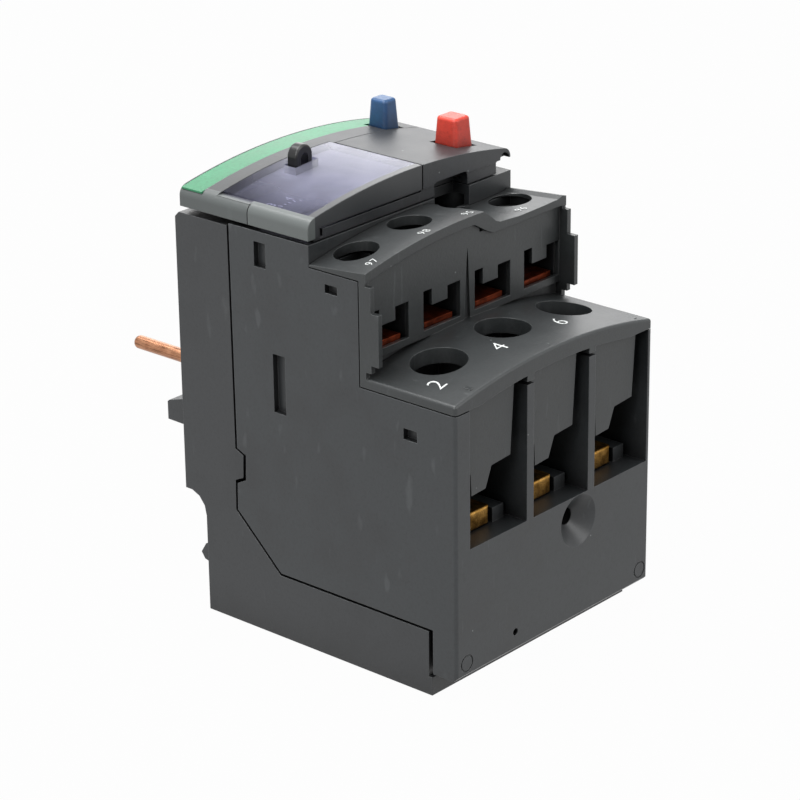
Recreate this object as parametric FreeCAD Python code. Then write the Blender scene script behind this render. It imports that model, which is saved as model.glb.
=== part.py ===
import FreeCAD, Part
import math
import os

os.makedirs("parts", exist_ok=True)

V = FreeCAD.Vector

# ---------------------------------------------------------------------------
# Thermal overload relay, 45 mm class.  All sizes in millimetres.
# X runs across the poles, Y from the load terminals to the contactor side,
# Z from the resting rear face up to the operating face.
# Shapes are drawn with Y = 0 on the load terminal face and shifted at export
# so that the origin sits under the middle of the part.
# ---------------------------------------------------------------------------

# Overall sizes
WIDTH = 45.0
HALF = WIDTH / 2
PIN_TIP_Y = 68.7
SHIFT_Y = -PIN_TIP_Y / 2
WALL = 1.6
SEAM = 0.2

# Rear shell
BACK_LOW_Y = 49.3
BACK_Y = 53.5
LEDGE_Z = 19.05
SHELL_TOP_Z = 63.1
SEAM_Y = 42.8
SEAM_LOW_Z = 10.3
FOOT_Y = 5.2

# Main housing
HOUSING_BOTTOM_Z = 3.5
HOUSING_TOP_Z = 63.5
POWER_TOP_Z = 44.6
AUX_SIDE_Y = 17.55
AUX_TOP_Z = 60.35
COVER_Y = 27.0

# Power terminals
POLE_PITCH = 14.2
POLE_X = (-13.07, -13.07 + POLE_PITCH, -13.07 + 2 * POLE_PITCH)
POLE_W = 12.69
POLE_FLOOR_Z = 23.4
POLE_DEPTH = 16.5
SCREW_DX = -0.45
SCREW_Y = 10.6
SCREW_HOLE_R = 4.2
BAR_W = 5.2
BAR_H = 3.0
BAR_Y = 3.6

# Auxiliary terminals
AUX_PITCH = 11.4
AUX_X = (-16.8, -5.4, 6.0, 17.4)
AUX_W = 8.2
AUX_WALL_Y = 16.4
AUX_FLOOR_Z = 49.3
AUX_SCREW_Y = 23.0
AUX_HOLE_R = 3.3
CHEEK = 0.8

# Case screw in its dished recess
CASE_SCREW = (5.3, 19.3)
SCREW_WELL_R = 1.3
DISH_DEPTH = 2.4

# Arched plates
POWER_CROWN_Z = 48.45
POWER_ARCH_R = 102.0
AUX_CROWN_Z = 64.15
AUX_ARCH_R = 103.0
AUX_TILT = 0.09
COVER_CROWN_Z = HOUSING_TOP_Z + 5.8
COVER_ARCH_R = 109.0
PLATE = 1.5

# Front cover
COVER_END_Y = 52.4
LIP_Z = 64.1
WINDOW_X = 2.2
WINDOW_Y = 45.35
PANEL_Y = 44.35
RIB_Z = 65.4
LIP = 1.4
END_ROUND = 1.6
FLAP = 1.2
FLAP_LIP_Y = 38.75
LABEL_END_X = HALF - 3.6
HINGE_X = -HALF + 0.75
HINGE_Z = 66.05
HINGE_R = 0.35
HINGE_LUG_R = 1.6

# Sealing eyelet
EYELET = (-7.4, 42.4)
EYELET_R = 1.8
EYELET_TOP_Z = 71.9

# Setting dial
DIAL_X = -13.7
DIAL_Y = 33.8
DIAL_R = 4.8
DIAL_BASE_Z = 64.5
DIAL_H = 0.7
DIAL_TOP_Z = DIAL_BASE_Z + DIAL_H

# Push buttons
RESET = (16.2, 46.9)
STOP = (16.0, 32.8)
RESET_SIZE = (3.6, 4.0)
STOP_SIZE = (4.3, 4.7)
RESET_TOP_Z = 72.6
STOP_TOP_Z = 72.5
BUTTON_GAP = 0.3
DRAFT = 0.8
STEM_R = 1.4
RESET_BORE_R = 2.2
STOP_BORE_R = 3.0
GUIDE_FLOOR_Z = 57.7

# Contactor side
PIN_PITCH = 11.25
PIN_X = (-16.9, -16.9 + PIN_PITCH, -16.9 + 2 * PIN_PITCH)
PIN_Z = 37.4
PIN_R = 1.05
PIN_ROOT_W = 2.4
PIN_ROOT_PROUD = 0.2
HOOK_X = 18.4
HOOK_W = 3.4

# Trip mechanism
BIMETAL_Y = (22.0, 28.0)
BIMETAL_Z = (13.0, 43.5)
SLIDE_Z = (44.0, 46.0)
FLOOR_Z = (47.4, 48.9)
ROCKER_X = 1.5
ROCKER_Z = 53.5
LEVER_X = 14.2
LEVER_Z = 51.5

# Fits
RUN_FIT = 0.06
PRESS = 0.02


# ---------------------------------------------------------------------------
# Small helpers
# ---------------------------------------------------------------------------
def box(x0, x1, y0, y1, z0, z1):
    return Part.makeBox(x1 - x0, y1 - y0, z1 - z0, V(x0, y0, z0))


def rod_z(x, y, z0, z1, r):
    return Part.makeCylinder(r, z1 - z0, V(x, y, z0), V(0, 0, 1))


def rod_y(x, z, y0, y1, r):
    return Part.makeCylinder(r, y1 - y0, V(x, y0, z), V(0, 1, 0))


def join(shapes):
    first = shapes[0]
    result = first.multiFuse(list(shapes[1:])) if len(shapes) > 1 else first
    return result.removeSplitter()


def side_prism(points, x0, x1):
    # Prism along X from a closed outline given as (y, z) points.
    loop = [V(x0, y, z) for y, z in points]
    wire = Part.makePolygon(loop + [loop[0]])
    return Part.Face(wire).extrude(V(x1 - x0, 0, 0))


def front_prism(points, y0, y1, drop=0.0):
    # Prism along Y from a closed outline given as (x, z) points.
    loop = [V(x, y0, z) for x, z in points]
    wire = Part.makePolygon(loop + [loop[0]])
    return Part.Face(wire).extrude(V(0, y1 - y0, -drop))


def arch_z(x, crown, radius):
    return crown - radius + math.sqrt(radius * radius - x * x)


def arch_prism(x0, x1, y0, y1, bottom, crown, radius, drop=0.0):
    # Block with a flat bottom and an arched top.
    left = V(x0, y0, arch_z(x0, crown, radius))
    mid = (x0 + x1) / 2
    top = V(mid, y0, arch_z(mid, crown, radius))
    right = V(x1, y0, arch_z(x1, crown, radius))
    edges = [
        Part.Arc(left, top, right).toShape(),
        Part.makeLine(right, V(x1, y0, bottom)),
        Part.makeLine(V(x1, y0, bottom), V(x0, y0, bottom)),
        Part.makeLine(V(x0, y0, bottom), left),
    ]
    return Part.Face(Part.Wire(edges)).extrude(V(0, y1 - y0, -drop))


def arch_sheet(x0, x1, y0, y1, crown, radius, thick):
    # Even sheet that follows an arch.
    outer = arch_prism(x0, x1, y0, y1, 30.0, crown, radius)
    inner = arch_prism(x0 - 1, x1 + 1, y0 - 1, y1 + 1, 29.0, crown - thick, radius - thick)
    return outer.cut(inner)


def tapered(x, y, base, top, z0, z1, corner):
    # Rounded rectangular frustum, centred on (x, y).
    loops = []
    for (w, d), z in ((base, z0), (top, z1)):
        block = Part.makeBox(w, d, 1.0, V(x - w / 2, y - d / 2, z))
        upright = [e for e in block.Edges if abs(e.Vertexes[0].Z - e.Vertexes[-1].Z) > 0.5]
        rounded = block.makeFillet(corner, upright)
        floor = [f for f in rounded.Faces if abs(f.CenterOfMass.z - z) < 0.01][0]
        loops.append(floor.OuterWire)
    return Part.makeLoft(loops, True, True)


def edges_at(shape, test):
    return [e for e in shape.Edges if test(e.CenterOfMass)]


def coil(x, y, z0, z1, radius, wire, turns):
    # Compression spring with its axis along Z.
    pitch = (z1 - z0 - wire * 2) / turns
    path = Part.makeHelix(pitch, pitch * turns, radius)
    path.translate(V(0, 0, z0 + wire))
    start = path.Edges[0].firstVertex().Point
    ring = Part.Wire(Part.makeCircle(wire, start, V(0, 1, 0)))
    spring = Part.Wire(path.Edges).makePipeShell([ring], True, True)
    spring.translate(V(x, y, 0))
    return spring


def cross_slot(x, y, z_top, depth, length, width):
    first = box(x - length / 2, x + length / 2, y - width / 2, y + width / 2, z_top - depth, z_top + 1)
    second = box(x - width / 2, x + width / 2, y - length / 2, y + length / 2, z_top - depth, z_top + 1)
    return join([first, second])


def save(name, shape):
    solid = shape.copy()
    solid.translate(V(0, SHIFT_Y, 0))
    solid.exportStep("parts/" + name + ".step")


# ---------------------------------------------------------------------------
# Rear shell: contactor side half of the case with the flat rear face
# ---------------------------------------------------------------------------
def rear_outline():
    return [
        (FOOT_Y - 0.6, 0.0), (BACK_LOW_Y, 0.0), (BACK_LOW_Y, 15.5), (49.65, 17.1),
        (50.7, 18.4), (52.2, LEDGE_Z), (BACK_Y, LEDGE_Z), (BACK_Y, SHELL_TOP_Z - 0.8),
        (BACK_Y - 0.8, SHELL_TOP_Z), (SEAM_Y + SEAM, SHELL_TOP_Z), (SEAM_Y - 0.05, 28.3),
        (41.15, 27.55), (41.3, 23.95), (SEAM_Y + 0.1, 23.2), (SEAM_Y + 0.2, 18.3),
        (34.2, SEAM_LOW_Z - SEAM), (FOOT_Y, SEAM_LOW_Z - SEAM), (FOOT_Y, 2.9),
        (FOOT_Y - 0.6, 2.9),
    ]


def rear_shell():
    body = side_prism(rear_outline(), -HALF, HALF)
    hollow = [
        (FOOT_Y + WALL, 1.8), (BACK_LOW_Y - WALL, 1.8), (BACK_LOW_Y - WALL, 16.6),
        (BACK_Y - WALL, 20.8), (BACK_Y - WALL, SHELL_TOP_Z - WALL), (38.0, SHELL_TOP_Z - WALL),
        (38.0, 14.5), (FOOT_Y + WALL, 14.5),
    ]
    body = body.cut(side_prism(hollow, -HALF + WALL, HALF - WALL))
    guide = rod_z(RESET[0], RESET[1], GUIDE_FLOOR_Z - 1.2, SHELL_TOP_Z - WALL + 0.2, RESET_BORE_R + 1.0)
    guide = guide.common(box(0, HALF, SEAM_Y + SEAM, BACK_Y, 40, 70))
    body = join([body, guide])
    body = body.cut(rod_z(RESET[0], RESET[1], GUIDE_FLOOR_Z, 70, RESET_BORE_R))
    body = body.cut(rod_z(RESET[0], RESET[1], 50, 70, STEM_R + RUN_FIT))
    for x in PIN_X:
        root = PIN_ROOT_W / 2 + RUN_FIT
        body = body.cut(box(x - root, x + root, BACK_Y - 3, BACK_Y + 1, PIN_Z - root, PIN_Z + root))
    extras = [contactor_hook(side * HOOK_X) for side in (-1, 1)]
    extras += [lower_stop(side * (HALF - 2.2)) for side in (-1, 1)]
    return join([body] + extras)


def contactor_hook(x):
    # Blunt hook that reaches into the contactor above the ledge.
    outline = [
        (BACK_Y - 0.4, 27.9), (BACK_Y + 5.7, 28.0), (BACK_Y + 5.7, 30.9), (BACK_Y + 5.3, 31.2),
        (BACK_Y + 2.6, 32.0), (BACK_Y - 0.4, 32.6),
    ]
    return side_prism(outline, x - HOOK_W / 2, x + HOOK_W / 2)


def lower_stop(x):
    outline = [
        (BACK_LOW_Y - 0.4, 7.4), (BACK_LOW_Y + 1.3, 7.8), (BACK_LOW_Y + 2.0, 8.8),
        (BACK_LOW_Y + 1.0, 10.4), (BACK_LOW_Y - 0.4, 11.2),
    ]
    return side_prism(outline, x - 1.6, x + 1.6)


# ---------------------------------------------------------------------------
# Main housing: terminal side half of the case
# ---------------------------------------------------------------------------
def housing_outline():
    top = AUX_TOP_Z - SEAM + 0.05
    return [
        (0.6, HOUSING_BOTTOM_Z), (4.4, HOUSING_BOTTOM_Z), (4.4, SEAM_LOW_Z + SEAM),
        (34.0, SEAM_LOW_Z + SEAM), (SEAM_Y - 0.2, 18.5), (SEAM_Y - 0.3, 22.8),
        (40.75, 23.7), (40.6, 27.75), (SEAM_Y - 0.45, 28.5), (SEAM_Y - SEAM, HOUSING_TOP_Z),
        (COVER_Y, HOUSING_TOP_Z), (COVER_Y, top), (AUX_SIDE_Y + SEAM, top),
        (AUX_SIDE_Y + SEAM, POWER_TOP_Z - SEAM), (0.0, POWER_TOP_Z - SEAM), (0.0, 4.1),
    ]


def main_housing():
    body = side_prism(housing_outline(), -HALF, HALF)
    corner = edges_at(body, lambda c: abs(abs(c.x) - HALF) < 0.01 and c.y < 0.01)
    body = body.makeFillet(0.5, corner)
    cuts = []
    for x in POLE_X:
        cuts.append(box(x - POLE_W / 2, x + POLE_W / 2, -1, POLE_DEPTH, POLE_FLOOR_Z, POWER_TOP_Z + 1))
        sx = x + SCREW_DX
        cuts.append(box(sx - BAR_W / 2 - PRESS, sx + BAR_W / 2 + PRESS, POLE_DEPTH - 1, 20,
                        POLE_FLOOR_Z, POLE_FLOOR_Z + BAR_H + PRESS))
    for x in AUX_X:
        right = min(x + 4.3, HALF - 1.0)
        cuts.append(box(x - 4.3, right, AUX_SIDE_Y - 1, 26.2, FLOOR_Z[1], HOUSING_TOP_Z + 1))
    # Cells of the three bimetals, open to the rear shell.
    inside = HALF - WALL
    cuts.append(box(-inside, inside, 19.0, 50, SEAM_LOW_Z - 1, FLOOR_Z[0]))
    # Bay of the trip mechanism.
    cuts.append(box(-inside, inside, 28.0, 50, FLOOR_Z[1], HOUSING_TOP_Z - WALL))
    # Hollow below the terminal chambers, closed by the rear shell.
    cuts.append(box(-inside, inside, 6.4, 17.2, SEAM_LOW_Z - 1, POLE_FLOOR_Z - 1.8))
    body = body.cut(cuts)
    walls = [box(x - 0.6, x + 0.6, 18.8, 30.6, SEAM_LOW_Z + SEAM, SLIDE_Z[0] - 0.15)
             for x in (POLE_X[0] + POLE_PITCH / 2 - 0.45, POLE_X[1] + POLE_PITCH / 2 - 0.45)]
    walls += [box(px + SCREW_DX - 2.6, px + SCREW_DX + 2.6, 18.8, 29.2, SEAM_LOW_Z + SEAM, BIMETAL_Z[0])
              for px in POLE_X]
    walls.append(rod_z(STOP[0], STOP[1], GUIDE_FLOOR_Z - 1.2, HOUSING_TOP_Z - WALL + 0.2, STOP_BORE_R + 0.9))
    walls.append(rod_y(ROCKER_X, ROCKER_Z, 27.8, 32.6, 2.0))
    walls.append(rod_y(LEVER_X, LEVER_Z, 27.8, 31.0, 1.7))
    for x in POLE_X:
        walls.append(box(x + 2.9, x + 5.4, 3.6, 9.0, POLE_FLOOR_Z - 0.2, POLE_FLOOR_Z + 2.2))
    body = join([body] + walls)
    cuts = [
        rod_z(STOP[0], STOP[1], GUIDE_FLOOR_Z, 70, STOP_BORE_R),
        rod_z(STOP[0], STOP[1], 50, 70, STEM_R + RUN_FIT),
        rod_z(DIAL_X, DIAL_Y, 60, 70, 1.6 + RUN_FIT),
        rod_y(ROCKER_X, ROCKER_Z, 28.4, 45, 1.0 + PRESS),
        rod_y(LEVER_X, LEVER_Z, 28.4, 45, 0.8 + PRESS),
        box(LEVER_X - 3.2, LEVER_X + 3.4, 38.0, 40.8, 46, 50),
    ]
    for x in AUX_X:
        cuts.append(box(x - 3.1 - PRESS, min(x + 3.1, HALF - 2.0) + PRESS, 25, 29,
                        FLOOR_Z[1], FLOOR_Z[1] + 1.2 + PRESS))
    cuts.append(case_screw_recess())
    cuts.append(rod_y(-9.25, 6.63, -1, 3.0, 0.55))
    for x in (-20.2, 20.5):
        # Shallow ring left by an ejector pin.
        cuts.append(rod_y(x, 5.8, -1, 0.15, 1.35).cut(rod_y(x, 5.8, -1, 1, 1.1)))
    cuts += side_slots()
    cuts.append(screwdriver_relief())
    return body.cut(cuts)


def case_screw_recess():
    x, z = CASE_SCREW
    dish = Part.makeCone(4.1, SCREW_WELL_R, DISH_DEPTH, V(x, 0, z), V(0, 1, 0))
    well = rod_y(x, z, DISH_DEPTH - 0.1, 6.0, SCREW_WELL_R)
    return join([dish, well, rod_y(x, z, 5.9, 7.5, 0.9)])


def side_slots():
    # Latch and vent slots, the same on both flanks, 1 mm deep.
    shapes = []
    for y0, y1, z0, z1 in ((35.4, 37.7, 58.1, 61.9), (32.1, 34.5, 36.3, 45.4),
                           (21.65, 24.0, 57.2, 58.5), (7.05, 9.55, 38.74, 40.41)):
        shapes.append(box(-HALF - 1, -HALF + 1.0, y0, y1, z0, z1))
        shapes.append(box(HALF - 0.6, HALF + 1, y0, y1, z0, z1))
    return shapes


def screwdriver_relief():
    # Half-round relief and dark opening in the cover wall behind the third auxiliary screw.
    relief = rod_z(8.6, 23.4, 60.3, 65.7, 5.2)
    opening = box(5.2, 11.5, COVER_Y - 1, 30.2, 60.4, 65.9)
    side = box(11.4, 12.8, COVER_Y - 1, 30.2, 60.4, 64.6)
    return join([relief, opening, side, rod_y(11.5, 64.6, COVER_Y - 1, 30.2, 1.3)])


# ---------------------------------------------------------------------------
# Terminal shroud: arched top plates, auxiliary front wall and flaps
# ---------------------------------------------------------------------------
def terminal_shroud():
    low = POWER_TOP_Z
    power = arch_prism(-HALF, HALF, 0, AUX_SIDE_Y, low, POWER_CROWN_Z, POWER_ARCH_R)
    rim = edges_at(power, lambda c: (abs(abs(c.x) - HALF) < 0.01 and (c.y < 0.01 or c.z > low + 1.2)
                                     and c.y < AUX_SIDE_Y - 0.01) or (c.y < 0.01 and c.z > low + 1.2))
    power = power.makeFillet(0.5, rim)
    under = arch_prism(-HALF + 3.1, HALF - 0.8, -1, POLE_DEPTH, low - 1,
                       POWER_CROWN_Z - PLATE - 0.9, POWER_ARCH_R)
    power = power.cut(under)
    stubs = []
    for k in (0, 1):
        x = POLE_X[k] + POLE_PITCH / 2
        stubs.append(arch_prism(x - 0.75, x + 0.75, 0, POLE_DEPTH, low + 0.3,
                                POWER_CROWN_Z - 0.8, POWER_ARCH_R))
    flaps = [pole_flap(x) for x in POLE_X]
    plate = aux_plate()
    front = aux_front()
    body = join([power] + stubs + flaps + [plate, front])
    cuts = []
    for x in POLE_X:
        cuts.append(rod_z(x + SCREW_DX, SCREW_Y, 40, 52, SCREW_HOLE_R))
    for x in AUX_X:
        cuts.append(rod_z(x, AUX_SCREW_Y, 58.5, 66, AUX_HOLE_R))
    return body.cut(cuts)


def pole_flap(x):
    # Stepped tongue that narrows the wire entry.
    left = x - POLE_W / 2
    outline = [
        (left + 1.31, 47.0), (left + 1.31, 34.2), (left + 1.5, 30.8), (left + 4.6, 31.0),
        (left + 5.9, 34.1), (left + 10.1, 34.4), (left + 11.0, 46.6),
    ]
    tongue = front_prism(outline, 1.0, 2.3)
    return join([tongue, box(left + 0.1, left + 1.4, 1.0, 2.3, 34.2, 46.5)])


def aux_plate():
    # Tilted arched plate with the relieved right half.
    left_z = arch_z(-HALF, AUX_CROWN_Z, AUX_ARCH_R)
    points = []
    for i in range(13):
        x = -HALF + (3.4 + HALF) * i / 12
        points.append((x, arch_z(x, AUX_CROWN_Z, AUX_ARCH_R)))
    points += [(4.9, 63.0), (6.1, 62.0), (7.0, 61.65), (11.5, 61.35), (16.0, 61.4), (20.6, 61.55),
               (21.6, 61.9), (HALF, left_z)]
    lower = [(x, z - PLATE) for x, z in points if x <= 2.0]
    lower += [(4.2, 60.9), (5.6, 60.3), (7.6, 60.35), (20.6, 60.35), (HALF, left_z - PLATE)]
    outline = points + lower[::-1]
    y0 = AUX_WALL_Y - 0.1
    y1 = COVER_Y - 0.1
    plate = front_prism(outline, y0, y1, (y1 - y0) * AUX_TILT)
    return plate.cut(box(-HALF - 1, HALF + 1, AUX_SIDE_Y, y1 + 1, 50, AUX_TOP_Z + 0.05))


def aux_front():
    # Front wall with four wire entries, tongues and stepped cheeks.
    y0 = AUX_WALL_Y + 0.5
    y1 = AUX_SIDE_Y
    wall = arch_prism(-HALF + 0.2, 3.0, y0, y1, 48.2, AUX_CROWN_Z - 0.6, AUX_ARCH_R)
    wall = join([wall, box(2.9, HALF - 0.2, y0, y1, 48.2, 61.0)])
    cuts = []
    for x in AUX_X:
        lo = x - AUX_W / 2
        hi = x + AUX_W / 2
        cuts.append(box(lo, hi, y0 - 1, y1 + 1, AUX_FLOOR_Z, 52.8))
        cuts.append(box(lo, lo + 1.9, y0 - 1, y1 + 1, 52.7, 55.3))
        cuts.append(box(hi - 2.9, hi, y0 - 1, y1 + 1, 52.7, 54.8))
    # Tapered groove between the two contact pairs.
    groove = [(-0.5, 48.1), (0.9, 48.1), (0.5, 57.6), (0.3, 59.3), (0.1, 57.6)]
    cuts.append(front_prism(groove, y0 - 1, y0 + 0.35))
    wall = wall.cut(cuts)
    cheeks = []
    steps = ((AUX_WALL_Y, 46.2, 60.9), (15.4, 47.0, 59.8), (14.0, 48.2, 56.0))
    for side in (-1, 1):
        outer = side * HALF
        inner = side * (HALF - CHEEK)
        for y, z0, z1 in steps:
            cheeks.append(box(min(outer, inner), max(outer, inner), y, y1, z0, z1))
        cheeks.append(box(min(outer, inner), max(outer, inner), 16.4, y1, 44.8, 61.2))
    return join([wall] + cheeks)


# ---------------------------------------------------------------------------
# Front cover with the window flap, the stop panel and the label strip
# ---------------------------------------------------------------------------
def cover_block(x0, x1, y0, y1, bottom):
    return arch_prism(x0, x1, y0, y1, bottom, COVER_CROWN_Z, COVER_ARCH_R)


def top_end_edges(block, end):
    # Long upper edges at the two ends of an arched block.
    level = arch_z(end, COVER_CROWN_Z, COVER_ARCH_R) - 0.3
    return edges_at(block, lambda c: abs(abs(c.x) - end) < 0.01 and c.z > level)


def front_cover():
    end = HALF - 0.05
    block = cover_block(-end, end, COVER_Y + 0.3, COVER_END_Y, 63.65)
    block = block.makeFillet(END_ROUND, top_end_edges(block, end))
    hollow = arch_prism(-end + LIP, end - LIP, COVER_Y + 0.3 + LIP, COVER_END_Y - LIP, 60.0,
                        COVER_CROWN_Z - PLATE, COVER_ARCH_R)
    body = block.cut(hollow)
    cuts = [
        # Room of the window flap with its lip.
        box(-30, WINDOW_X, 20, FLAP_LIP_Y + 0.15, RIB_Z, 80),
        box(-30, -end + 3.35, 20, FLAP_LIP_Y + 0.15, 64.0, 80),
        box(-30, -end + LIP + 0.1, 20, FLAP_LIP_Y + 0.15, 60, 80),
        box(HINGE_X, WINDOW_X, 20, WINDOW_Y, RIB_Z - 0.3, 80),
        # Room of the stop panel.
        box(WINDOW_X - 0.1, 30, 20, PANEL_Y, RIB_Z, 80),
        box(end - 3.05, 30, 20, PANEL_Y, 60, 80),
        # Open lip line along both flanks and the raised rear edge.
        box(-30, -end + LIP + 0.1, 20, 60, 60, LIP_Z),
        box(end - LIP - 0.1, 30, 20, 60, 60, LIP_Z),
    ]
    body = body.cut(cuts)
    tray = box(-end + 2.15, end - 3.25, COVER_Y + 0.5, PANEL_Y + 6.5, 63.65, 64.3)
    tray = tray.cut(box(-30, HINGE_X + 2.65, 20, COVER_Y + 1.4, 60, 80))
    rail = box(-end + 0.5, WINDOW_X - 0.3, WINDOW_Y + 0.2, WINDOW_Y + 1.2, LIP_Z, 66.0)
    lug = rod_y(HINGE_X, HINGE_Z, FLAP_LIP_Y + 0.15, WINDOW_Y + 0.1, HINGE_LUG_R)
    web = box(-end + 0.8, -end + 2.65, FLAP_LIP_Y + 0.15, WINDOW_Y + 1.0, LIP_Z, 64.75)
    lug = join([lug, web]).common(cover_block(-end + 0.6, 0, 20, 60, LIP_Z))
    lug = lug.cut(box(-30, 0, 20, 60, 67.0, 80))
    body = join([body, tray, rail, lug])
    cuts = [
        box(-end + 0.2, LABEL_END_X + 0.05, 48.1, 52.2, 60, 80).common(
            arch_sheet(-HALF, HALF, 48.0, 52.3, COVER_CROWN_Z + 1, COVER_ARCH_R + 1, 1.3)),
        rod_z(DIAL_X, DIAL_Y, 60, 64.4, 1.6 + RUN_FIT),
        button_hole(RESET, RESET_SIZE),
        box(RESET[0] - 3.1, RESET[0] + 3.1, RESET[1] - 1.2, RESET[1] + 3.1, 60, 66.5),
        rod_z(RESET[0], RESET[1], 60, 66.5, 3.1),
        rod_z(STOP[0], STOP[1], 60, 66.2, 3.4),
        button_hole(STOP, STOP_SIZE),
        rod_y(HINGE_X, HINGE_Z, FLAP_LIP_Y, 44.0, HINGE_R + PRESS),
        screwdriver_relief(),
    ]
    return body.cut(cuts)


def button_hole(place, size):
    x, y = place
    w = size[0] / 2 + BUTTON_GAP
    d = size[1] / 2 + BUTTON_GAP
    return box(x - w, x + w, y - d, y + d, 64, 80)


def stop_panel():
    x0 = WINDOW_X + 0.2
    end = HALF - 0.05
    y1 = PANEL_Y - 0.15
    block = cover_block(x0, end, COVER_Y, y1, LIP_Z)
    block = block.makeFillet(END_ROUND, top_end_edges(block, end))
    hollow = arch_prism(x0 - 1, end - LIP, COVER_Y + LIP, y1 + 1, 60.0,
                        COVER_CROWN_Z - PLATE, COVER_ARCH_R)
    body = block.cut(hollow)
    cuts = [
        box(x0 - 1, end - 3.15, COVER_Y - 1, COVER_Y + 3, 60, RIB_Z + 0.1),
        # Open corner with the half-round hollow above the housing.
        box(end - 3.25, 30, COVER_Y - 1, COVER_Y + 3, 60, 65.6),
        rod_y(end - 1.35, 65.6, COVER_Y - 1, COVER_Y + 1.0, 1.05),
        button_hole(STOP, STOP_SIZE),
        rod_z(RESET[0], RESET[1], 60, 66.5, 2.9),
        rod_z(STOP[0], STOP[1], 60, 66.5, 3.1),
        screwdriver_relief(),
    ]
    return body.cut(cuts)


def window_flap():
    end = HALF - 0.05
    x1 = WINDOW_X - 0.1
    sheet = cover_block(-end, x1, COVER_Y, WINDOW_Y - 0.15, 63.0)
    sheet = sheet.makeFillet(END_ROUND, top_end_edges(sheet, end))
    hollow = arch_prism(-end + LIP, x1 + 1, COVER_Y + 1.2, WINDOW_Y + 1, 60.0,
                        COVER_CROWN_Z - FLAP, COVER_ARCH_R)
    body = sheet.cut(hollow)
    cuts = [
        box(-30, HINGE_X, FLAP_LIP_Y, 50, 60, 80),
        rod_y(HINGE_X, HINGE_Z, FLAP_LIP_Y, 50, HINGE_LUG_R + 0.08),
        box(HINGE_X + 1.75, 30, COVER_Y - 1, COVER_Y + 2, 60, RIB_Z + 0.1),
        box(-30, HINGE_X + HINGE_LUG_R, FLAP_LIP_Y, 50, 60, HINGE_Z),
        box(-30, 30, 20, 50, 60, LIP_Z),
        eyelet_slot(),
        rod_y(HINGE_X, HINGE_Z, COVER_Y + 0.6, 39.5, HINGE_R + RUN_FIT),
    ]
    return body.cut(cuts)


def hinge_pin():
    return rod_y(HINGE_X, HINGE_Z, COVER_Y + 0.8, 43.9, HINGE_R)


def sealing_eyelet():
    # Slim upright loop for a sealing wire.
    x, y = EYELET
    r = EYELET_R
    low, high = 67.3, EYELET_TOP_Z - r
    d = 0.95
    loop = join([box(x - r, x + r, y - d, y + d, 64.3, high), rod_y(x, high, y - d, y + d, r)])
    rim = edges_at(loop, lambda c: abs(abs(c.y - y) - d) < 0.01 and c.z > 65)
    loop = loop.makeFillet(0.35, rim)
    hole = join([box(x - 0.8, x + 0.8, y - 2, y + 2, low, high - 0.3),
                 rod_y(x, high - 0.3, y - 2, y + 2, 0.8), rod_y(x, low, y - 2, y + 2, 0.8)])
    foot = box(x - r - 0.3, x + r + 0.3, y - d - 0.3, y + d + 0.3, 64.3, 65.0)
    return join([loop, foot]).cut(hole)


def eyelet_slot():
    # Slot of the window flap round the eyelet, longer on the side away from the hinge.
    x, y = EYELET
    return box(x - EYELET_R - 0.35, x + EYELET_R + 0.9, y - 1.15, y + 1.15, 60, 80)


def label_strip():
    sheet = arch_sheet(-HALF + 0.3, LABEL_END_X, 48.15, 52.15, COVER_CROWN_Z - 0.02, COVER_ARCH_R, 0.26)
    return sheet.cut(button_hole(RESET, RESET_SIZE))


def scale_plate():
    plate = box(-HALF + 2.9, WINDOW_X - 0.6, 29.2, 44.6, 64.3, 64.9)
    cuts = [rod_z(DIAL_X, DIAL_Y, 60, 70, DIAL_R + 0.25),
            box(-10.4, -4.1, 40.3, 44.7, 60, 70)]
    return plate.cut(cuts)


# ---------------------------------------------------------------------------
# Setting dial and push buttons
# ---------------------------------------------------------------------------
def setting_dial():
    disc = rod_z(DIAL_X, DIAL_Y, DIAL_BASE_Z, DIAL_TOP_Z, DIAL_R)
    rim = edges_at(disc, lambda c: c.z > DIAL_TOP_Z - 0.01)
    disc = disc.makeFillet(0.4, rim)
    shaft = rod_z(DIAL_X, DIAL_Y, 57.8, DIAL_BASE_Z + 0.1, 1.6)
    body = join([disc, shaft])
    body = body.cut(box(DIAL_X - 3.1, DIAL_X + 3.1, DIAL_Y - 0.5, DIAL_Y + 0.5, DIAL_TOP_Z - 0.5, 80))
    return body.cut(rod_z(DIAL_X + 4.0, DIAL_Y, DIAL_TOP_Z - 0.3, 80, 0.45))


def dial_cam():
    cam = rod_z(DIAL_X + 0.8, DIAL_Y, 58.4, 60.6, 2.8)
    return cam.cut(rod_z(DIAL_X, DIAL_Y, 50, 70, 1.6 + PRESS))


def button(place, size, top_z, bore_r):
    x, y = place
    w, d = size
    cap = tapered(x, y, (w, d), (w - DRAFT, d - DRAFT), 66.2, top_z, 0.7)
    rim = edges_at(cap, lambda c: c.z > top_z - 0.01)
    cap = cap.makeFillet(0.5, rim)
    flange = rod_z(x, y, 65.75, 66.35, min(bore_r + 0.5, 2.8))
    collar = rod_z(x, y, 64.2, 65.8, bore_r - 0.2)
    stem = rod_z(x, y, GUIDE_FLOOR_Z - 2.0, 64.3, STEM_R)
    return join([cap, flange, collar, stem])


def button_spring(place, bore_r):
    x, y = place
    mean = (STEM_R + bore_r) / 2
    return coil(x, y, GUIDE_FLOOR_Z, 64.2, mean, 0.17, 5)


def case_screw():
    x, z = CASE_SCREW
    head = rod_y(x, z, 3.6, 5.6, SCREW_WELL_R - RUN_FIT)
    socket = rod_y(x, z, 3.3, 4.6, 0.65)
    shank = rod_y(x, z, 5.5, 7.4, 0.88)
    return join([head, shank]).cut(socket)


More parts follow.
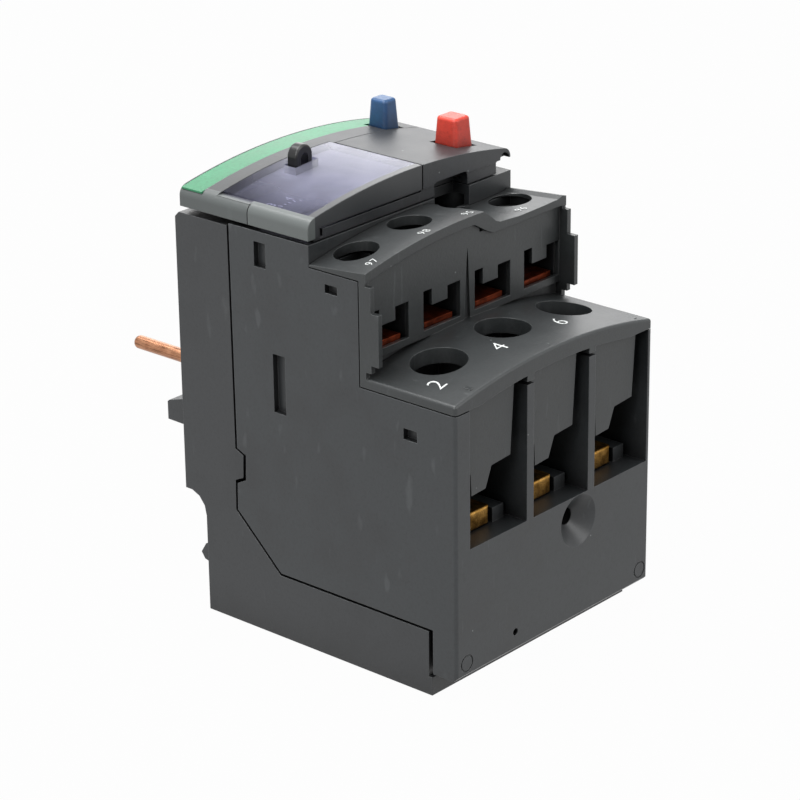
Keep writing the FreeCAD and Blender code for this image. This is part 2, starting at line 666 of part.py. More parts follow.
# ---------------------------------------------------------------------------
# Power path of one pole
# ---------------------------------------------------------------------------
def terminal_bar(k):
    x = POLE_X[k] + SCREW_DX
    bar = box(x - BAR_W / 2, x + BAR_W / 2, BAR_Y, 20.6, POLE_FLOOR_Z, POLE_FLOOR_Z + BAR_H)
    rim = edges_at(bar, lambda c: c.y < BAR_Y + 0.01)
    return bar.makeFillet(0.4, rim)


def clamp_saddle(x, y, w, d, z0, z1, bore):
    plate = box(x - w / 2, x + w / 2, y - d / 2, y + d / 2, z0, z1)
    boss = rod_z(x, y, z1 - 0.1, z1 + 1.4, bore + 1.0)
    return join([plate, boss]).cut(rod_z(x, y, z0 - 5, z1 + 5, bore + RUN_FIT))


def terminal_screw(x, y, r, head_r, z0, z_head, z1):
    shank = rod_z(x, y, z0, z_head + 0.1, r)
    head = rod_z(x, y, z_head, z1, head_r)
    rim = edges_at(head, lambda c: c.z > z1 - 0.01)
    head = head.makeFillet(0.35, rim)
    return join([shank, head]).cut(cross_slot(x, y, z1, 1.1, head_r * 1.25, head_r * 0.24))


def power_saddle(k):
    return clamp_saddle(POLE_X[k] + SCREW_DX, SCREW_Y, 8.6, 8.0, 31.0, 32.6, 2.0)


def power_screw(k):
    return terminal_screw(POLE_X[k] + SCREW_DX, SCREW_Y, 2.0, 3.7, 28.0, 40.6, 43.4)


def screw_bridge(k):
    # Steel bridge that carries the captive screw under its head.
    x = POLE_X[k] + SCREW_DX
    plate = box(x - 5.6, x + 5.6, SCREW_Y - 5.4, SCREW_Y + 5.4, 38.9, 40.3)
    return plate.cut(rod_z(x, SCREW_Y, 30, 50, 2.0 + RUN_FIT))


def bimetal(k):
    x = POLE_X[k] + SCREW_DX
    strip = box(x - 0.45, x + 0.45, BIMETAL_Y[0], BIMETAL_Y[1], BIMETAL_Z[0], BIMETAL_Z[1])
    foot = box(x - 2.2, x + 2.2, BIMETAL_Y[0], BIMETAL_Y[1], BIMETAL_Z[0], BIMETAL_Z[0] + 1.6)
    return join([strip, foot])


def heater(k):
    # Flat resistance ribbon wound round the bimetal.
    x = POLE_X[k] + SCREW_DX
    y0, y1 = BIMETAL_Y[0] - 1.4, BIMETAL_Y[1] + 1.4
    turns = []
    for i in range(6):
        z = 23.9 + 2.6 * i
        ring = box(x - 1.7, x + 1.7, y0, y1, z, z + 1.2).cut(box(x - 0.9, x + 0.9, y0 + 0.8, y1 - 0.8, z - 1, z + 3))
        turns.append(ring)
        if i < 5:
            side = 0.9 if i % 2 == 0 else -1.7
            turns.append(box(x + side, x + side + 0.8, y0 + 3.0, y0 + 4.4, z + 1.0, z + 2.8))
    return join(turns)


def power_pin(k):
    px = PIN_X[k]
    x = POLE_X[k] + SCREW_DX
    half = PIN_ROOT_W / 2
    root = box(px - half, px + half, 48.0, BACK_Y + PIN_ROOT_PROUD, PIN_Z - half, PIN_Z + half)
    pin = rod_y(px, PIN_Z, BACK_Y - 1, PIN_TIP_Y, PIN_R)
    tip = edges_at(pin, lambda c: c.y > PIN_TIP_Y - 0.01)
    pin = pin.makeFillet(0.8, tip)
    lo, hi = min(px, x) - 1.0, max(px, x) + 1.0
    tail = box(px - 1.0, px + 1.0, 31.0, 48.5, PIN_Z - 0.7, PIN_Z + 0.7)
    link = box(lo, hi, 31.0, 32.6, PIN_Z - 0.7, PIN_Z + 0.7)
    lead = box(x - 1.0, x + 1.0, BIMETAL_Y[1] + 1.4, 31.1, PIN_Z - 0.7, PIN_Z + 0.7)
    return join([root, pin, tail, link, lead])


# ---------------------------------------------------------------------------
# Auxiliary terminals and contacts
# ---------------------------------------------------------------------------
def aux_bar(j):
    x = AUX_X[j]
    right = min(x + 3.1, HALF - 2.0)
    return box(x - 3.1, right, AUX_SIDE_Y + 0.1, 29.4, FLOOR_Z[1], FLOOR_Z[1] + 1.2)


def contact_strip(j, y, riser_x, contact_x, arm_z):
    # Terminal plate, floor strip, riser and contact arm in one stamping.
    x = AUX_X[j]
    z = FLOOR_Z[1]
    y0, y1 = y - 0.6, y + 0.6
    lo, hi = min(x - 1.2, riser_x), max(x + 1.2, riser_x + 0.7)
    parts = [
        aux_bar(j),
        box(x - 1.2, x + 1.2, 29.3, y1, z, z + 0.8),
        box(lo, hi, y0, y1, z, z + 0.8),
        box(riser_x, riser_x + 0.7, y0, y1, z, arm_z + 0.8),
        box(min(riser_x, contact_x - 0.8), max(riser_x + 0.7, contact_x + 0.8), y0, y1, arm_z, arm_z + 0.8),
        rod_z(contact_x, y, arm_z - 0.4, arm_z + 0.1, 0.55),
    ]
    return join(parts)


def aux_saddle(j):
    return clamp_saddle(AUX_X[j] - 0.1, AUX_SCREW_Y, 5.8, 5.0, 53.3, 54.3, 1.6)


def aux_screw(j):
    return terminal_screw(AUX_X[j] - 0.1, AUX_SCREW_Y, 1.6, 2.7, 51.8, 57.6, 59.3)


def aux_bridge(j):
    x = AUX_X[j] - 0.1
    right = min(x + 4.0, HALF - 1.2)
    plate = box(x - 3.9, right, AUX_SCREW_Y - 3.0, AUX_SCREW_Y + 3.0, 56.6, 57.4)
    return plate.cut(rod_z(x, AUX_SCREW_Y, 40, 70, 1.6 + RUN_FIT))


# ---------------------------------------------------------------------------
# Trip mechanism
# ---------------------------------------------------------------------------
def overload_slide():
    parts = [box(-18.0, 17.6, 21.6, 24.0, SLIDE_Z[0], SLIDE_Z[1])]
    for px in POLE_X:
        x = px + SCREW_DX
        parts.append(box(x + 0.85, x + 2.05, 21.6, 27.6, 41.6, SLIDE_Z[0] - 0.3))
        parts.append(box(x + 0.85, x + 2.05, 21.6, 24.0, 41.6, SLIDE_Z[1]))
    parts.append(box(9.2, 12.2, 23.8, 40.2, SLIDE_Z[0], SLIDE_Z[1]).cut(
        box(9.0, 12.3, 24.2, 29.8, 40, SLIDE_Z[0] + 1.05)))
    return join(parts)


def phase_slide():
    z1 = SLIDE_Z[0] + 0.9
    parts = [box(-18.0, 17.0, 26.0, 28.4, SLIDE_Z[0], z1)]
    for px in POLE_X:
        x = px + SCREW_DX
        parts.append(box(x - 1.95, x - 0.75, 24.4, 28.4, 41.6, SLIDE_Z[0] + 0.2))
    return join(parts)


def compensating_lever():
    y0, y1 = 38.6, 40.2
    hub = rod_y(LEVER_X, LEVER_Z, y0, y1, 2.0)
    low = front_prism([(LEVER_X - 1.0, LEVER_Z), (LEVER_X - 1.1, 46.6), (LEVER_X - 1.75, 45.5),
                       (LEVER_X - 1.5, 44.7), (LEVER_X - 0.5, 44.4), (LEVER_X + 0.6, 45.0),
                       (LEVER_X + 1.4, LEVER_Z)], y0, y1)
    high = front_prism([(LEVER_X - 1.5, LEVER_Z), (LEVER_X + 1.0, LEVER_Z), (LEVER_X - 0.2, 58.4),
                        (LEVER_X - 1.4, 58.4)], y0, y1)
    return join([hub, low, high]).cut(rod_y(LEVER_X, LEVER_Z, 30, 45, 0.8 + RUN_FIT))


def trip_rocker():
    beam = box(-9.0, 10.2, 33.0, 38.0, ROCKER_Z - 1.0, ROCKER_Z + 1.0)
    hub = rod_y(ROCKER_X, ROCKER_Z, 33.0, 38.0, 2.4)
    arm = box(9.2, 10.4, 37.8, 40.0, ROCKER_Z - 1.0, 58.2)
    foot = box(8.0, 10.4, 37.6, 40.0, ROCKER_Z - 1.0, ROCKER_Z + 1.0)
    body = join([beam, hub, arm, foot])
    return body.cut(rod_y(ROCKER_X, ROCKER_Z, 30, 42, 1.0 + RUN_FIT))


def contact_bridge(x):
    top = ROCKER_Z + 1.0
    plate = box(x - 0.9, x + 0.9, 33.4, 37.6, top, top + 0.5)
    pads = [rod_z(x, y, top + 0.4, top + 0.8, 0.55) for y in (34.0, 37.0)]
    return join([plate] + pads)


def rocker_pin():
    return rod_y(ROCKER_X, ROCKER_Z, 28.6, 38.6, 1.0)


def lever_pin():
    return rod_y(LEVER_X, LEVER_Z, 28.6, 40.8, 0.8)


# ---------------------------------------------------------------------------
# Build and export
# ---------------------------------------------------------------------------
save("rear_shell", rear_shell())
save("main_housing", main_housing())
save("terminal_shroud", terminal_shroud())
save("front_cover", front_cover())
save("stop_panel", stop_panel())
save("window_flap", window_flap())
save("hinge_pin", hinge_pin())
save("sealing_eyelet", sealing_eyelet())
save("label_strip", label_strip())
save("scale_plate", scale_plate())
save("setting_dial", setting_dial())
save("dial_cam", dial_cam())
save("reset_button", button(RESET, RESET_SIZE, RESET_TOP_Z, RESET_BORE_R))
save("reset_spring", button_spring(RESET, RESET_BORE_R))
save("stop_button", button(STOP, STOP_SIZE, STOP_TOP_Z, STOP_BORE_R))
save("stop_spring", button_spring(STOP, STOP_BORE_R))
save("case_screw", case_screw())
for k in range(3):
    tag = str(k + 1)
    save("terminal_bar_" + tag, terminal_bar(k))
    save("power_saddle_" + tag, power_saddle(k))
    save("power_screw_" + tag, power_screw(k))
    save("bimetal_" + tag, bimetal(k))
    save("heater_" + tag, heater(k))
    save("power_pin_" + tag, power_pin(k))
save("power_bridges", Part.makeCompound([screw_bridge(k) for k in range(3)]))
save("aux_bridges", Part.makeCompound([aux_bridge(j) for j in range(4)]))
save("nc_contact_a", contact_strip(0, 34.0, -13.4, -7.6, ROCKER_Z + 2.3))
save("nc_contact_b", contact_strip(1, 37.0, -11.6, -7.6, ROCKER_Z + 2.3))
save("no_contact_a", contact_strip(2, 34.0, 10.8, 8.0, ROCKER_Z + 3.7))
save("no_contact_b", contact_strip(3, 37.0, 10.8, 8.0, ROCKER_Z + 3.7))
for j in range(4):
    tag = str(j + 1)
    save("aux_saddle_" + tag, aux_saddle(j))
    save("aux_screw_" + tag, aux_screw(j))
save("overload_slide", overload_slide())
save("phase_slide", phase_slide())
save("compensating_lever", compensating_lever())
save("lever_pin", lever_pin())
save("trip_rocker", trip_rocker())
save("rocker_pin", rocker_pin())
save("nc_bridge", contact_bridge(-7.6))
save("no_bridge", contact_bridge(8.0))
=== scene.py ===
import math

import bmesh
import bpy
from mathutils import Matrix, Vector


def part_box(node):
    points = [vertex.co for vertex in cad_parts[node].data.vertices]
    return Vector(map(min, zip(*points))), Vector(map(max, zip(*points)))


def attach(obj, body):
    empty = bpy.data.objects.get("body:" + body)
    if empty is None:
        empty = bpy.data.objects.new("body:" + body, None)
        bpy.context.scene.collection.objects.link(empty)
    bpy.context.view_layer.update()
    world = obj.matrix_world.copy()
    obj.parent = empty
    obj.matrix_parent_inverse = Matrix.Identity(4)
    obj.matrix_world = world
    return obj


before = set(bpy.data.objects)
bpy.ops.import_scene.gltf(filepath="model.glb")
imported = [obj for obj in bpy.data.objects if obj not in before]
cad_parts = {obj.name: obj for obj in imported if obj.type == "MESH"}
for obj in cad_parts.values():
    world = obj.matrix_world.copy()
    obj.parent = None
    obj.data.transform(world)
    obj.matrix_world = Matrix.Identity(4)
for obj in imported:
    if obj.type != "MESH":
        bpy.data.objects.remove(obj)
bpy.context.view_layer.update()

# ---------------------------------------------------------------------------
# A thermal overload relay: dark moulded case, arched front cover with a clear
# flap, printed numbers, push buttons and metal terminals. Lengths are metres.
# ---------------------------------------------------------------------------
MM = 0.001

# Row frame: the load terminal face lies this far before the origin.
FRONT_FACE_Y = -34.35 * MM

# Arched plates: crown height and radius of each, from the part's own sizes
POWER_CROWN_Z = 48.45 * MM
POWER_ARCH_R = 102.0 * MM
AUX_CROWN_Z = 64.15 * MM
AUX_ARCH_R = 103.0 * MM
AUX_TILT = 0.09
AUX_EDGE_Y = 16.3 * MM
AUX_FLAT_Z = 61.42 * MM

# Front cover and flap: where the rounded left end with its painted highlight
# starts, where the flap's front lip ends, and the length over which the flap's
# painted reflection grows
COVER_END_X = -20.95 * MM
FLAP_LIP_Y = FRONT_FACE_Y + 28.3 * MM
REFLECTION_RAMP_LENGTH = 22 * MM

# Printed ink: how far it stands off the plastic, half its thickness, its capital
# height as a share of the font's size, and the thinning of its strokes by height
INK_LIFT = 0.03 * MM
INK_HALF_THICKNESS = 0.008 * MM
CAPITAL_SHARE = 0.70
STROKE_THINNING = 0.018

# Terminal numbers: text and x, then the row's y from the load face, all in
# millimetres, and the height of the figures
POWER_NUMBERS = (("2", -19.0), ("4", -5.4), ("6", 8.4))
POWER_NUMBER_Y = 6.2
POWER_NUMBER_HEIGHT = 2.9 * MM
AUX_NUMBERS = (("97", -19.2), ("98", -8.0), ("95", 1.6))
AUX_NUMBER_Y = 17.9
AUX_NUMBER_HEIGHT = 1.35 * MM
AUX_NUMBER_SPACING = 1.1

# The last auxiliary number stands on the flat part of its plate
FLAT_NUMBER = "96"
FLAT_NUMBER_X = 14.2
FLAT_NUMBER_Y = 18.2

# Scale round the dial: angles in degrees, run clockwise from the first tick
SCALE_START = 165
NUMBER_STEP = 30
SCALE_NUMBERS = "23456"
SCALE_NUMBER_HEIGHT = 1.6 * MM
SCALE_NUMBER_REACH = 2.15 * MM
TICK_STEP = 10
TICK_COUNT = 16
TICKS_PER_NUMBER = 3
TICK_GAP = 0.35 * MM
LONG_TICK = 0.75 * MM
SHORT_TICK = 0.45 * MM
TICK_HALF_WIDTH = 0.09 * MM
TICK_THICKNESS = 0.02 * MM

# Floor: half its side, and its gap below the resting face
FLOOR_HALF = 1.5
FLOOR_GAP = 0.02 * MM

# Lamps: name, place, size and watts; all aim at the middle of the relay
LAMP_AIM = (0.0, 0.0, 0.035)
LAMPS = (
    ("overhead_lamp", (-0.10, 0.15, 0.62), (0.55, 0.45), 5.0),
    ("left_lamp", (-0.60, -0.12, 0.42), (0.40, 0.40), 2.9),
    ("front_lamp", (0.18, -0.60, 0.38), (0.40, 0.40), 1.8),
    ("sheen_lamp", (0.44, 0.39, 0.26), (0.50, 0.24), 1.05),
)

# Camera: place, then its turn, rise and roll in degrees, and its lens
CAMERA_AT = (-0.31773, -0.28470, 0.20436)
CAMERA_TURN = -48.58
CAMERA_RISE = 22.10
CAMERA_ROLL = -0.71
SENSOR_WIDTH_MM = 36.0
FOCAL_LENGTH_MM = 137.07


# ---------------------------------------------------------------------------
# Colour and node helpers
# ---------------------------------------------------------------------------
def linear(hex_colour):
    # sRGB hex to the linear values that the shaders take.
    out = []
    for i in (1, 3, 5):
        c = int(hex_colour[i:i + 2], 16) / 255
        out.append(c / 12.92 if c <= 0.04045 else ((c + 0.055) / 1.055) ** 2.4)
    return (*out, 1.0)


def add(tree, kind, settings=None, links=None):
    # One node with its settings; keys of links are its inputs, values are sockets.
    node = tree.nodes.new(kind)
    for key, value in (settings or {}).items():
        if isinstance(key, str) and hasattr(node, key):
            setattr(node, key, value)
        else:
            node.inputs[key].default_value = value
    for key, socket in (links or {}).items():
        tree.links.new(socket, node.inputs[key])
    return node


def new_material(name):
    material = bpy.data.materials.new(name)
    material.use_nodes = True
    material.node_tree.nodes.clear()
    return material, material.node_tree


def finish_material(tree, shader_socket):
    add(tree, "ShaderNodeOutputMaterial", links={"Surface": shader_socket})


def ramp(tree, socket, stops):
    # Colour ramp; stops are (position, hex colour or grey value).
    node = add(tree, "ShaderNodeValToRGB", links={"Fac": socket})
    band = node.color_ramp
    while len(band.elements) < len(stops):
        band.elements.new(0.5)
    for element, (place, colour) in zip(band.elements, stops):
        element.position = place
        element.color = linear(colour) if isinstance(colour, str) else (colour,) * 3 + (1.0,)
    return node.outputs["Color"]


def mix_colour(tree, factor, first, second, mode="MIX"):
    node = add(tree, "ShaderNodeMix", {"data_type": "RGBA", "blend_type": mode})
    for index, value in ((0, factor), (6, first), (7, second)):
        if isinstance(value, bpy.types.NodeSocket):
            tree.links.new(value, node.inputs[index])
        else:
            node.inputs[index].default_value = value
    return node.outputs[2]


def maths(tree, operation, first, second=0.0):
    node = add(tree, "ShaderNodeMath", {"operation": operation})
    for index, value in ((0, first), (1, second)):
        if isinstance(value, bpy.types.NodeSocket):
            tree.links.new(value, node.inputs[index])
        else:
            node.inputs[index].default_value = value
    return node.outputs[0]


def paint_shade_in_hollows(tree, tone, reach_mm=7.0):
    # Painted shade: an ambient occlusion mask darkens the tone inside pockets, holes and seams,
    # where shade falls.
    near = add(tree, "ShaderNodeAmbientOcclusion", {"samples": 3, "Distance": reach_mm * MM})
    painted_shade = ramp(tree, near.outputs["AO"], [(0.0, 0.0), (0.30, 0.06), (0.52, 0.45), (0.78, 1.0)])
    return mix_colour(tree, 1.0, tone, painted_shade, "MULTIPLY")


# ---------------------------------------------------------------------------
# Moulded plastics
# ---------------------------------------------------------------------------
def moulded_plastic(name, colour, wear_and_highlight_colour, dark, roughness, grain_mm, grain_depth_mm,
                    edge_mm=0.16, coat=0.0, specks=0.84, painted_hollow_shade=True, painted_end_highlight=False):
    """Injection moulded thermoplastic.

    The spark-eroded grain of the tool breaks the highlight into a soft sheen,
    cloudy flow marks vary the tone, edges are painted a little lighter, partly as
    wear and partly as a painted highlight, and a few dust specks sit on it. The
    real grain is about 0.05 mm; it is drawn coarser, at grain_mm, so that it shows.
    """
    material, tree = new_material(name)
    place = add(tree, "ShaderNodeTexCoord").outputs["Object"]

    cloud = add(tree, "ShaderNodeTexNoise",
                {"Scale": 1 / (9 * MM), "Detail": 3.0, "Roughness": 0.55}, {"Vector": place})
    tone = ramp(tree, cloud.outputs["Fac"], [(0.30, dark), (0.52, colour), (0.80, colour)])
    mottle = add(tree, "ShaderNodeTexNoise",
                 {"Scale": 1 / (0.55 * MM), "Detail": 4.0, "Roughness": 0.75}, {"Vector": place})
    mottle = ramp(tree, mottle.outputs["Fac"], [(0.32, 0.72), (0.50, 0.94), (0.68, 1.0)])
    tone = mix_colour(tree, 1.0, tone, mottle, "MULTIPLY")

    # Edges painted lighter, partly real wear and partly a painted highlight: the rounded normal
    # departs from the flat one near an edge.
    soft = add(tree, "ShaderNodeBevel", {"samples": 4, "Radius": edge_mm * MM})
    plain = add(tree, "ShaderNodeNewGeometry")
    facing = add(tree, "ShaderNodeVectorMath", {"operation": "DOT_PRODUCT"},
                 {0: soft.outputs["Normal"], 1: plain.outputs["Normal"]})
    edge_breakup = add(tree, "ShaderNodeTexNoise",
              {"Scale": 1 / (0.9 * MM), "Detail": 4.0, "Roughness": 0.7}, {"Vector": place})
    edge_wear_and_highlight = maths(tree, "SUBTRACT", 1.0, facing.outputs["Value"])
    edge_wear_and_highlight = maths(tree, "MULTIPLY", edge_wear_and_highlight, 4.0)
    edge_wear_and_highlight = maths(tree, "MULTIPLY", edge_wear_and_highlight, edge_breakup.outputs["Fac"])
    edge_wear_and_highlight = add(tree, "ShaderNodeClamp", {"Max": 0.65}, {"Value": edge_wear_and_highlight}).outputs[0]
    tone = mix_colour(tree, edge_wear_and_highlight, tone, linear(wear_and_highlight_colour))

    # Dust: small pale dots about 0.15 mm across, one in every few cells.
    cells = add(tree, "ShaderNodeTexVoronoi", {"Scale": 1 / (2.1 * MM)}, {"Vector": place})
    dot = ramp(tree, cells.outputs["Distance"], [(0.0, 1.0), (0.045, 1.0), (0.065, 0.0)])
    chosen = add(tree, "ShaderNodeSeparateColor", links={"Color": cells.outputs["Color"]})
    chosen = maths(tree, "GREATER_THAN", chosen.outputs[0], specks)
    dust = maths(tree, "MULTIPLY", dot, chosen)
    dust = maths(tree, "MULTIPLY", dust, 0.5)
    tone = mix_colour(tree, dust, tone, linear("#a8acab"))

    # Scuffs: long thin rubs, a few tenths of a millimetre wide.
    stretch = add(tree, "ShaderNodeMapping", {"Scale": (1.0, 0.35, 0.12)}, {"Vector": place})
    scuff = add(tree, "ShaderNodeTexNoise",
                {"Scale": 1 / (0.8 * MM), "Detail": 2.0, "Roughness": 0.5},
                {"Vector": stretch.outputs["Vector"]})
    scuff = ramp(tree, scuff.outputs["Fac"], [(0.66, 0.0), (0.74, 1.0)])
    tone = mix_colour(tree, maths(tree, "MULTIPLY", scuff, 0.16), tone, linear(wear_and_highlight_colour))
    if painted_end_highlight:
        # Painted highlight: the rounded left end of the cover is painted paler, for the light
        # from the left that falls on its rounding.
        axes = add(tree, "ShaderNodeSeparateXYZ", links={"Vector": place})
        lit_end_mask = maths(tree, "LESS_THAN", axes.outputs["X"], COVER_END_X)
        tone = mix_colour(tree, maths(tree, "MULTIPLY", lit_end_mask, 0.7), tone, linear("#5c6160"))
    # Painted shade: darker in pockets, holes and seams, where shade falls, unless turned off.
    if painted_hollow_shade:
        tone = paint_shade_in_hollows(tree, tone)
    rough = maths(tree, "MULTIPLY", cloud.outputs["Fac"], 0.14)
    rough = maths(tree, "ADD", rough, roughness - 0.07)
    rough = maths(tree, "ADD", rough, maths(tree, "MULTIPLY", scuff, 0.06))

    grain = add(tree, "ShaderNodeTexNoise",
                {"Scale": 1 / (grain_mm * MM), "Detail": 2.0, "Roughness": 0.6},
                {"Vector": place})
    bump = add(tree, "ShaderNodeBump",
               {"Strength": 1.0, "Distance": grain_depth_mm * MM},
               {"Height": grain.outputs["Fac"], "Normal": soft.outputs["Normal"]})
    shader = add(tree, "ShaderNodeBsdfPrincipled",
                 {"IOR": 1.53, "Coat Weight": coat, "Coat Roughness": 0.18},
                 {"Base Color": tone, "Roughness": rough, "Normal": bump.outputs["Normal"]})
    finish_material(tree, shader.outputs["BSDF"])
    return material


def clear_polycarbonate(name):
    """Clear moulded polycarbonate flap with smoked lips.

    The flat part is see-through with a faint lilac cast. It is painted clearest at
    the hinged left end and more lilac toward the free right end, a painted
    reflection of the pale surroundings.
    The thick lips at its front and left read as grey plastic; the left one is
    painted paler, a painted highlight.
    """
    material, tree = new_material(name)
    place = add(tree, "ShaderNodeTexCoord").outputs["Object"]
    axes = add(tree, "ShaderNodeSeparateXYZ", links={"Vector": place})
    ripple = add(tree, "ShaderNodeTexNoise", {"Scale": 1 / (6 * MM), "Detail": 1.0},
                 {"Vector": place})
    haze = add(tree, "ShaderNodeTexNoise", {"Scale": 1 / (7 * MM), "Detail": 2.0},
               {"Vector": place})
    bump = add(tree, "ShaderNodeBump", {"Strength": 0.25, "Distance": 0.05 * MM},
               {"Height": ripple.outputs["Fac"]})
    tint = ramp(tree, haze.outputs["Fac"], [(0.35, "#9a9ba8"), (0.65, "#b4b5c3")])
    clear = add(tree, "ShaderNodeBsdfTransparent", {"Color": linear("#e2e2ec")})
    gloss = add(tree, "ShaderNodeBsdfPrincipled", {"IOR": 1.58, "Roughness": 0.27},
                {"Base Color": tint, "Normal": bump.outputs["Normal"]})
    edge_on = add(tree, "ShaderNodeFresnel", {"IOR": 1.45}, {"Normal": bump.outputs["Normal"]})
    body = maths(tree, "MULTIPLY", edge_on.outputs["Fac"], 1.4)
    body = maths(tree, "ADD", body, 0.20)
    # Painted reflection: the lilac gloss shows more toward the right end of the flap.
    painted_reflection = maths(tree, "MULTIPLY", axes.outputs["X"], 1 / REFLECTION_RAMP_LENGTH)
    painted_reflection = maths(tree, "ADD", painted_reflection, 0.95)
    painted_reflection = add(tree, "ShaderNodeClamp", {"Min": 0.12}, {"Value": painted_reflection}).outputs[0]
    body = maths(tree, "MULTIPLY", body, painted_reflection)
    body = add(tree, "ShaderNodeClamp", links={"Value": body}).outputs[0]
    pane = add(tree, "ShaderNodeMixShader",
               links={0: body, 1: clear.outputs[0], 2: gloss.outputs["BSDF"]})

    # Smoked lips: the strip along the left end and the lip along the front.
    left = maths(tree, "LESS_THAN", axes.outputs["X"], COVER_END_X)
    front = maths(tree, "LESS_THAN", axes.outputs["Y"], FLAP_LIP_Y)
    lip = maths(tree, "MAXIMUM", left, front)
    grain = add(tree, "ShaderNodeTexNoise",
                {"Scale": 1 / (0.3 * MM), "Detail": 2.0}, {"Vector": place})
    soft = add(tree, "ShaderNodeBevel", {"samples": 4, "Radius": 0.25 * MM})
    lip_bump = add(tree, "ShaderNodeBump", {"Strength": 1.0, "Distance": 0.006 * MM},
                   {"Height": grain.outputs["Fac"], "Normal": soft.outputs["Normal"]})
    # Painted highlight: the left lip is painted paler than the front lip, for the light that
    # falls on its rounded top.
    lip_tone_and_highlight = mix_colour(tree, left, linear("#2f3133"), linear("#5c6160"))
    smoked = add(tree, "ShaderNodeBsdfPrincipled", {"Roughness": 0.36, "IOR": 1.58},
                 {"Base Color": lip_tone_and_highlight, "Normal": lip_bump.outputs["Normal"]})
    both = add(tree, "ShaderNodeMixShader",
               links={0: lip, 1: pane.outputs[0], 2: smoked.outputs["BSDF"]})
    finish_material(tree, both.outputs[0])
    return material


# ---------------------------------------------------------------------------
# Metals
# ---------------------------------------------------------------------------
def worked_metal(name, colour, shade, roughness, draw_axis, line_mm=0.12):
    """Bare metal with the marks of how it was made.

    Lines run along draw_axis, as drawing, rolling or turning leaves them, drawn
    coarser than the real hairlines so that they show, and a dull film of oxide
    varies the tone.
    """
    material, tree = new_material(name)
    place = add(tree, "ShaderNodeTexCoord").outputs["Object"]
    squeeze = [1.0, 1.0, 1.0]
    squeeze[draw_axis] = 0.04
    lines_at = add(tree, "ShaderNodeMapping", {"Scale": squeeze}, {"Vector": place})
    lines = add(tree, "ShaderNodeTexNoise",
                {"Scale": 1 / (line_mm * MM), "Detail": 3.0, "Roughness": 0.6},
                {"Vector": lines_at.outputs["Vector"]})
    film = add(tree, "ShaderNodeTexNoise", {"Scale": 1 / (1.6 * MM), "Detail": 4.0},
               {"Vector": place})
    tone = ramp(tree, film.outputs["Fac"], [(0.32, shade), (0.62, colour)])
    scored = ramp(tree, lines.outputs["Fac"], [(0.36, 0.45), (0.50, 0.92), (0.62, 1.0)])
    tone = mix_colour(tree, 1.0, tone, scored, "MULTIPLY")
    # Painted shade: darker in pockets and holes, where shade falls.
    tone = paint_shade_in_hollows(tree, tone, 5.0)
    rough = maths(tree, "MULTIPLY", lines.outputs["Fac"], 0.25)
    rough = maths(tree, "ADD", rough, roughness - 0.12)
    soft = add(tree, "ShaderNodeBevel", {"samples": 4, "Radius": 0.1 * MM})
    bump = add(tree, "ShaderNodeBump", {"Strength": 0.6, "Distance": 0.006 * MM},
               {"Height": lines.outputs["Fac"], "Normal": soft.outputs["Normal"]})
    shader = add(tree, "ShaderNodeBsdfPrincipled", {"Metallic": 1.0},
                 {"Base Color": tone, "Roughness": rough, "Normal": bump.outputs["Normal"]})
    finish_material(tree, shader.outputs["BSDF"])
    return material


def printed_ink(name, colour):
    """Pad-printed ink: a thin matt film with small gaps where it missed."""
    material, tree = new_material(name)
    place = add(tree, "ShaderNodeTexCoord").outputs["Object"]
    gaps = add(tree, "ShaderNodeTexNoise", {"Scale": 1 / (0.25 * MM), "Detail": 2.0},
               {"Vector": place})
    tone = ramp(tree, gaps.outputs["Fac"], [(0.30, "#8d9190"), (0.48, colour)])
    shader = add(tree, "ShaderNodeBsdfPrincipled", {"Roughness": 0.6, "IOR": 1.5},
                 {"Base Color": tone})
    finish_material(tree, shader.outputs["BSDF"])
    return material


